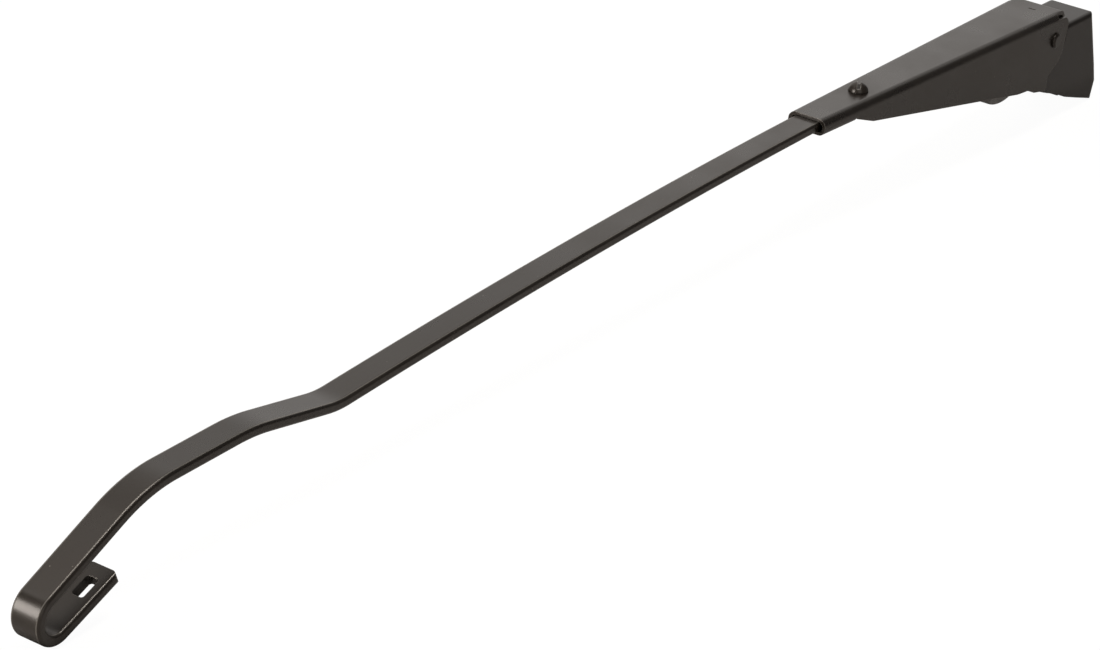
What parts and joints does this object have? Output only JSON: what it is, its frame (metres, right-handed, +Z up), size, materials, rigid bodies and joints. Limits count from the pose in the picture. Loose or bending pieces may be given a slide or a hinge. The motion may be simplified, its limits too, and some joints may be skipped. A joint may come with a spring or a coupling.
{
  "type": "wiper arm",
  "caption": "Sprung folding wiper arm: spindle head under a nut cover, tapered folded channel and a long flat bar that ends in a J-hook for the blade.",
  "frame": {"origin": "on the axis of the spindle bore, in the plane of the nut's seat on top of the boss", "axes": "+X along the arm to the hooked tip, +Z up along the spindle away from the screen, +Y to the side that the picture shows; the hinge axis lies along Y"},
  "size_m": [0.5097, 0.0222, 0.0443],
  "materials": {
    "cast_head": "satin",
    "bright_steel": "satin",
    "pin_paint": "satin",
    "bush_polymer": "matte",
    "channel_paint": "satin",
    "bar_paint": "satin",
    "screw_paint": "satin",
    "spring_wire": "satin",
    "link_steel": "satin",
    "cover_plastic": "satin"
  },
  "bodies": {
    "head": {"head": "cast_head", "link_pin": "bright_steel", "hinge_bushes": "bush_polymer"},
    "arm": {"channel": "channel_paint", "hook_bar": "bar_paint", "bar_screw": "screw_paint", "hinge_pin": "pin_paint"},
    "link": {"c_link": "link_steel"},
    "spring": {"tension_spring": "spring_wire"},
    "cover": {"nut_cover": "cover_plastic"}
  },
  "joints": [
    {"name": "arm_fold", "type": "hinge", "parent": "head", "child": "arm", "pos_m": [0.019, 0, 0.0105], "axis": [0, -1, 0], "range_deg": [0, 95], "stiffness_Nm_per_rad": 0.8, "springref_deg": -57.3, "deforming": ["tension_spring"]},
    {"name": "link_swing", "type": "hinge", "parent": "head", "child": "link", "pos_m": [0.021, 0, -0.0025], "axis": [0, -1, 0], "range_deg": [0, 88]},
    {"name": "spring_swing", "type": "hinge", "parent": "arm", "child": "spring", "pos_m": [0.1114, 0, 0.0121], "axis": [0, -1, 0], "range_deg": [-7.2, 0]},
    {"name": "cover_slide", "type": "slide", "parent": "head", "child": "cover", "axis": [-1, 0, 0], "range_m": [0, 0.05]}
  ],
  "couplings": [
    {"joint": "link_swing", "follows": "arm_fold", "ratio": 0.925},
    {"joint": "spring_swing", "follows": "arm_fold", "ratio": -0.075}
  ]
}
